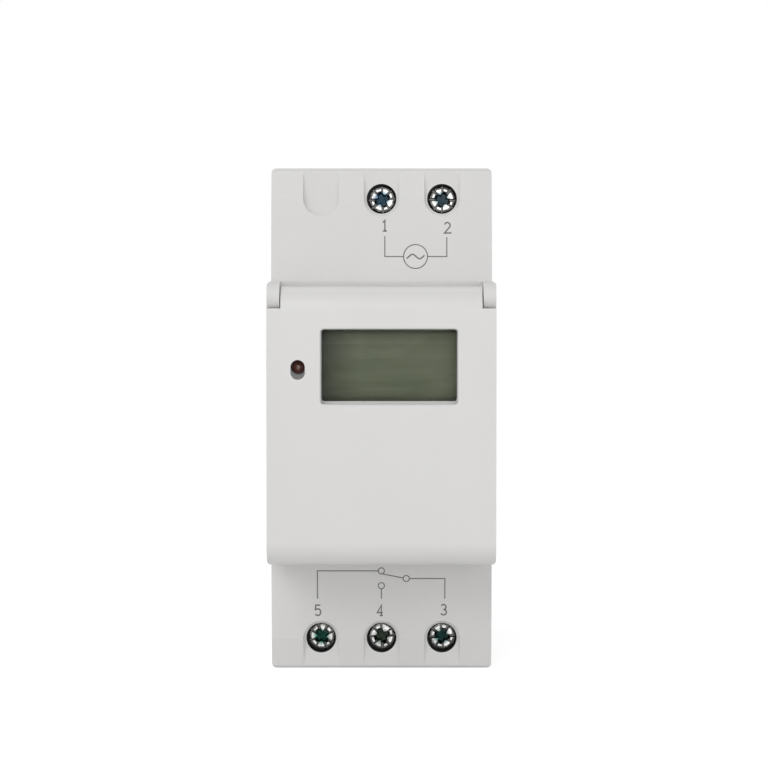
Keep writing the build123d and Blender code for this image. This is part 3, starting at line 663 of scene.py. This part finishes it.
def print_supply_symbol():
    """Terminals 1 and 2: a supply circle with its wave, and a lead to each number."""
    x1, z_screw = screw_place("1")
    x2, _ = screw_place("2")
    left = x1 + 0.54 * MM
    right = x2 + 0.74 * MM
    level = z_screw - 9.47 * MM
    digits_top = z_screw - 5.15 * MM
    middle = (left + right) / 2 - 0.05 * MM
    radius = 1.95 * MM
    start = digits_top - 1.0 * MM
    print_lines("supply_lead_1", [[(left, start), (left, level), (middle - radius, level)]])
    print_lines("supply_lead_2", [[(right, start - 0.15 * MM), (right, level), (middle + radius, level)]])
    print_ring("supply_circle", middle, level, radius)
    wave = []
    for step in range(WAVE_STEPS + 1):
        part = step / WAVE_STEPS
        swing = math.sin(2 * math.pi * (part * WAVE_CYCLES - WAVE_START))
        wave.append((middle + (part - 0.5) * WAVE_SPAN, level + WAVE_RISE * swing))
    print_strokes("supply_wave", [wave], STROKE)
    print_digit("1", left, z_screw - 4.45 * MM)
    print_digit("2", right + 0.1 * MM, z_screw - 4.77 * MM)


def print_switch_symbol():
    """Terminals 3, 4 and 5: a changeover contact between them."""
    x5, z_screw = screw_place("5")
    x4, _ = screw_place("4")
    x3, _ = screw_place("3")
    left = x5 - 0.58 * MM
    right = x3 + 0.45 * MM
    radius = 0.5 * MM
    pivot = (x4 - 0.03 * MM, z_screw + 11.2 * MM)
    spare = (x4 - 0.03 * MM, z_screw + 8.75 * MM)
    common = (x4 + 4.04 * MM, z_screw + 9.94 * MM)
    foot = z_screw + 6.6 * MM
    print_lines("switch_lead_5", [[(left, foot), (left, pivot[1]), (pivot[0] - radius, pivot[1])]])
    print_lines("switch_lead_4", [[(spare[0], spare[1] - radius), (spare[0], foot)]])
    print_lines(
        "switch_lead_3", [[(common[0] + radius, common[1]), (right, common[1]), (right, foot)]],
    )
    print_lines(
        "switch_blade",
        [[(pivot[0] + 0.18 * MM, pivot[1] - radius), (common[0] - radius, common[1] + 0.08 * MM)]],
    )
    for name, place in (("pivot", pivot), ("spare", spare), ("common", common)):
        print_ring("switch_" + name, place[0], place[1], radius)
    level = z_screw + 4.68 * MM
    print_digit("5", left + 0.05 * MM, level)
    print_digit("4", x4 - 0.22 * MM, level)
    print_digit("3", x3 + 0.24 * MM, level + 0.1 * MM)


# Terminal screws

HEAD_RADIUS = 2.15 * MM
HEAD_HEIGHT = 1.5 * MM
SHANK_RADIUS = 1.75 * MM
THREAD_ROOT = 1.45 * MM
THREAD_PITCH = 0.6 * MM
THREAD_START = 3.0 * MM
CROSS_LENGTH = 3.0 * MM
CROSS_TOP = 1.15 * MM
CROSS_BOTTOM = 0.7 * MM
CROSS_DEPTH = 1.2 * MM
SINK_LENGTH = 2.2 * MM
SINK_TOP = 2.2 * MM
SINK_BOTTOM = 0.8 * MM
SINK_DEPTH = 0.32 * MM
NOTCH_COUNT = 8
NOTCH_LENGTH = 2.2 * MM
NOTCH_TOP = 0.55 * MM
NOTCH_TOP_SPREAD = 0.16 * MM
NOTCH_BOTTOM = 0.25 * MM
NOTCH_DEPTH = 0.7 * MM
NOTCH_SPREAD = 0.12
LATHE_STEPS = 64
SCREW_SHIFT_X = 0.1 * MM
SCREW_SHIFT_TOP = -0.08 * MM
SCREW_SHIFT_BOTTOM = 0.1 * MM


def lathe(profile, steps):
    """A solid of revolution about Z from (radius, height) points that start and end on the axis."""
    shape = bmesh.new()
    first = shape.verts.new((0, 0, profile[0][1]))
    last = shape.verts.new((0, 0, profile[-1][1]))
    rings = []
    for radius, height in profile[1:-1]:
        ring = []
        for step in range(steps):
            angle = 2 * math.pi * step / steps
            ring.append(shape.verts.new((radius * math.cos(angle), radius * math.sin(angle), height)))
        rings.append(ring)
    for step in range(steps):
        after = (step + 1) % steps
        shape.faces.new((first, rings[0][after], rings[0][step]))
        shape.faces.new((last, rings[-1][step], rings[-1][after]))
        for low, high in zip(rings, rings[1:]):
            shape.faces.new((low[step], low[after], high[after], high[step]))
    bmesh.ops.recalc_face_normals(shape, faces=shape.faces)
    return shape


def wedge(length, top_width, bottom_width, depth, turn, out=0.0):
    """A tapered bar, turned about the screw's axis and moved out from it, for cutting the head."""
    shape = bmesh.new()
    corners = []
    for height, width, reach in ((-depth, bottom_width, length * 0.62), (0.3 * MM, top_width, length)):
        for x, y in ((-reach, -width), (reach, -width), (reach, width), (-reach, width)):
            corners.append(shape.verts.new((x / 2 + out, y / 2, height)))
    for face in ((3, 2, 1, 0), (4, 5, 6, 7), (0, 1, 5, 4), (1, 2, 6, 5), (2, 3, 7, 6), (3, 0, 4, 7)):
        shape.faces.new([corners[index] for index in face])
    bmesh.ops.rotate(shape, verts=corners, matrix=Matrix.Rotation(turn, 3, "Z"))
    return temporary("cutter", shape)


def temporary(name, shape):
    mesh = bpy.data.meshes.new(name)
    shape.to_mesh(mesh)
    shape.free()
    piece = bpy.data.objects.new(name, mesh)
    bpy.context.scene.collection.objects.link(piece)
    return piece


def cut(piece, cutters):
    """The piece's mesh after the cutters are taken out of it; the cutters are removed."""
    for cutter in cutters:
        modifier = piece.modifiers.new("cut", "BOOLEAN")
        modifier.operation = "DIFFERENCE"
        modifier.solver = "EXACT"
        modifier.object = cutter
    bpy.context.view_layer.update()
    result = bpy.data.meshes.new_from_object(piece.evaluated_get(bpy.context.evaluated_depsgraph_get()))
    for extra in [piece] + cutters:
        mesh = extra.data
        bpy.data.objects.remove(extra)
        bpy.data.meshes.remove(mesh)
    return result


def screw_profile(length):
    """Head, neck and threaded shank, with the head's face at height zero."""
    profile = [(0, 0), (HEAD_RADIUS - 0.45 * MM, 0), (HEAD_RADIUS - 0.12 * MM, -0.1 * MM)]
    profile += [(HEAD_RADIUS, -0.34 * MM), (HEAD_RADIUS, 0.1 * MM - HEAD_HEIGHT)]
    profile += [(HEAD_RADIUS - 0.1 * MM, -HEAD_HEIGHT), (SHANK_RADIUS, -HEAD_HEIGHT)]
    height = -THREAD_START
    while height - THREAD_PITCH > -length + 0.4 * MM:
        profile += [(SHANK_RADIUS, height), (SHANK_RADIUS, height - 0.1 * MM)]
        profile.append((THREAD_ROOT, height - 0.33 * MM))
        height -= THREAD_PITCH
    profile += [(SHANK_RADIUS, height), (SHANK_RADIUS - 0.3 * MM, -length), (0, -length)]
    return profile


def screw_cutters(x):
    """The cross recess, a shallow sink between its arms and radial notches, uneven from screw to screw."""
    cutters = []
    for turn in (0, math.pi / 2):
        cutters.append(wedge(CROSS_LENGTH, CROSS_TOP, CROSS_BOTTOM, CROSS_DEPTH, turn))
    cutters.append(wedge(SINK_LENGTH, SINK_TOP, SINK_BOTTOM, SINK_DEPTH, math.pi / 4))
    for step in range(NOTCH_COUNT):
        angle = math.pi * (0.125 + step / 4) + NOTCH_SPREAD * math.sin(3.0 * step)
        width = NOTCH_TOP + NOTCH_TOP_SPREAD * math.sin(5.0 * step + x / MM)
        cutters.append(wedge(NOTCH_LENGTH, width, NOTCH_BOTTOM, NOTCH_DEPTH, angle, SHANK_RADIUS))
    return cutters


def terminal_screw(number):
    """A captive threaded screw in place of the CAD one, a little off the middle of its well."""
    node = "terminal_screw_" + number
    low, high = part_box(node)
    x, z = screw_place(number)
    body = temporary("screw_blank", lathe(screw_profile(high.y - low.y), LATHE_STEPS))
    mesh = cut(body, screw_cutters(x))
    turn = Matrix.Rotation(math.radians(SCREW_TURNS[number]), 4, "Z")
    lay = Matrix.Rotation(math.pi / 2, 4, "X")
    shift = Vector((SCREW_SHIFT_X, 0, SCREW_SHIFT_TOP if z > 0 else SCREW_SHIFT_BOTTOM))
    mesh.transform(Matrix.Translation(Vector((x, low.y, z)) + shift) @ lay @ turn)
    piece = bpy.data.objects.new(f"screw_{number}_detail", mesh)
    bpy.context.scene.collection.objects.link(piece)
    mesh.materials.clear()
    mesh.materials.append(screw_metal("zinc_" + number, (x, low.y, z), SCREW_TINTS[number]))
    for polygon in mesh.polygons:
        polygon.use_smooth = False
    edges = piece.modifiers.new("edge_round", "BEVEL")
    edges.width = 0.03 * MM
    edges.segments = 2
    edges.limit_method = "ANGLE"
    edges.angle_limit = math.radians(30)
    edges.use_clamp_overlap = True
    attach(piece, OWNERS[node])
    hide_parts(node)


# Clip spring

SPRING_WIRE = 0.2 * MM
SPRING_TURNS = 10
SPRING_STEPS = 24
SPRING_SIDES = 10


def spring_height(turns_done, length):
    """The wire's height above the spring's lower end; the first and last turns are closed."""
    rise = min(max((turns_done - 1) / (SPRING_TURNS - 2), 0.0), 1.0)
    ends = 2 * SPRING_WIRE * (min(turns_done, 1.0) + max(turns_done - SPRING_TURNS + 1, 0.0))
    return SPRING_WIRE + (length - 6 * SPRING_WIRE) * rise + ends


def spring_ring(shape, centre, radius, angle, height):
    """One ring of points round the wire."""
    out = Vector((math.cos(angle), math.sin(angle), 0))
    ring = []
    for side in range(SPRING_SIDES):
        turn = 2 * math.pi * side / SPRING_SIDES
        rise = Vector((0, 0, height + SPRING_WIRE * math.sin(turn)))
        ring.append(shape.verts.new(centre + out * (radius + SPRING_WIRE * math.cos(turn)) + rise))
    return ring


def clip_spring():
    """The clip's coil spring, with closed end turns, in place of the CAD one."""
    low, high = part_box("clip_spring")
    foot = Vector(((low.x + high.x) / 2, (low.y + high.y) / 2, low.z))
    radius = (high.x - low.x) / 2 - SPRING_WIRE
    length = high.z - low.z
    shape = bmesh.new()
    rings = []
    for step in range(SPRING_TURNS * SPRING_STEPS + 1):
        angle = 2 * math.pi * step / SPRING_STEPS
        rings.append(spring_ring(shape, foot, radius, angle, spring_height(step / SPRING_STEPS, length)))
    for first, second in zip(rings, rings[1:]):
        for side in range(SPRING_SIDES):
            after = (side + 1) % SPRING_SIDES
            shape.faces.new((first[side], first[after], second[after], second[side]))
    shape.faces.new(rings[0])
    shape.faces.new(list(reversed(rings[-1])))
    piece = mesh_piece("spring_detail", shape, MATERIALS["spring"], OWNERS["clip_spring"])
    for polygon in piece.data.polygons:
        polygon.use_smooth = True
    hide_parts("clip_spring")
    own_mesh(piece)


# Stage, light and camera

FLOOR_HALF = 1.5
FLOOR_GAP = 0.05 * MM
FLOOR_LIFT = 0.55
WORLD_FILL = 0.5
KEY_PLACE = Vector((-0.28, -0.52, 0.40))
KEY_SIZE = (0.5, 0.34)
KEY_POWER = 1.36
FILL_PLACE = Vector((0.14, -0.70, 0.05))
FILL_SIZE = (0.4, 0.4)
FILL_POWER = 0.9
CAMERA_SIDE = 0.4 * MM
CAMERA_DISTANCE = 345 * MM
CAMERA_HEIGHT = 18.9 * MM
CAMERA_PITCH = 1.08
CAMERA_LENS = 103.55
CAMERA_SENSOR = 36
CAMERA_SHIFT = -0.0508


def plane(name, centre, across, up, material):
    """A flat staged rectangle given by two half-side vectors."""
    shape = bmesh.new()
    corners = [centre - across - up, centre + across - up, centre + across + up, centre - across + up]
    shape.faces.new([shape.verts.new(corner) for corner in corners])
    mesh = bpy.data.meshes.new(name)
    shape.to_mesh(mesh)
    shape.free()
    mesh.materials.append(material)
    piece = bpy.data.objects.new(name, mesh)
    bpy.context.scene.collection.objects.link(piece)


def seen_directly(tree):
    """One for camera, glossy and transmission rays, and zero for the light on the object."""
    path = tree.nodes.new("ShaderNodeLightPath")
    total = path.outputs["Is Camera Ray"]
    for name in ("Is Glossy Ray", "Is Transmission Ray"):
        total = math_node(tree, "MAXIMUM", total, path.outputs[name])
    return total


def floor_material():
    """White paper that reads as white and still takes a shadow."""
    material, tree, shader = new_material("floor_paper")
    grain = noise(tree, 3 * MM, 2.0)
    set_color(tree, shader, ramp(tree, grain, 0.3, 0.7, (0.86,) * 3, (0.88,) * 3))
    shader.inputs["Roughness"].default_value = 0.9
    shader.inputs["Emission Color"].default_value = (*WHITE, 1)
    lift = math_node(tree, "MULTIPLY", seen_directly(tree), FLOOR_LIFT)
    tree.links.new(lift, shader.inputs["Emission Strength"])
    return material


def build_world(fill):
    """An even grey fill that shows as white wherever it is seen directly."""
    world = bpy.data.worlds.new("studio")
    bpy.context.scene.world = world
    world.use_nodes = True
    tree = world.node_tree
    background = tree.nodes["Background"]
    background.inputs["Color"].default_value = (*WHITE, 1)
    level = map_range(tree, seen_directly(tree), 0.0, 1.0, fill, 1.0)
    tree.links.new(level, background.inputs["Strength"])


def area_light(name, place, target, size, power):
    """A rectangular lamp that faces a target."""
    lamp = bpy.data.lights.new(name, "AREA")
    lamp.shape = "RECTANGLE"
    lamp.size, lamp.size_y = size
    lamp.energy = power
    holder = bpy.data.objects.new(name, lamp)
    holder.location = place
    holder.rotation_euler = (target - place).to_track_quat("-Z", "Y").to_euler()
    bpy.context.scene.collection.objects.link(holder)


def build_stage():
    """Floor, lamps and world round the object's box."""
    low, high = cad_box
    middle = (Vector(low) + Vector(high)) / 2
    across = Vector((FLOOR_HALF, 0, 0))
    plane("floor", Vector((0, 0, low[2] - FLOOR_GAP)), across, Vector((0, FLOOR_HALF, 0)), floor_material())
    build_world(WORLD_FILL)
    area_light("key", middle + KEY_PLACE, middle, KEY_SIZE, KEY_POWER)
    area_light("front_fill", middle + FILL_PLACE, middle, FILL_SIZE, FILL_POWER)


def build_camera():
    """Level with the display, a little to the right, as far off as an arm's length."""
    low, _ = cad_box
    data = bpy.data.cameras.new("camera")
    data.sensor_width = CAMERA_SENSOR
    data.lens = CAMERA_LENS
    data.shift_y = CAMERA_SHIFT
    data.clip_start = 0.01
    data.clip_end = 20
    camera = bpy.data.objects.new("camera", data)
    camera.location = (CAMERA_SIDE, low[1] - CAMERA_DISTANCE, CAMERA_HEIGHT)
    camera.rotation_euler = (math.radians(90 - CAMERA_PITCH), 0, 0)
    bpy.context.scene.collection.objects.link(camera)
    bpy.context.scene.camera = camera


finish_nodes()
print_supply_symbol()
print_switch_symbol()
for number in SCREW_TURNS:
    terminal_screw(number)
clip_spring()
build_stage()
build_camera()
bpy.context.scene.view_settings.view_transform = "Standard"
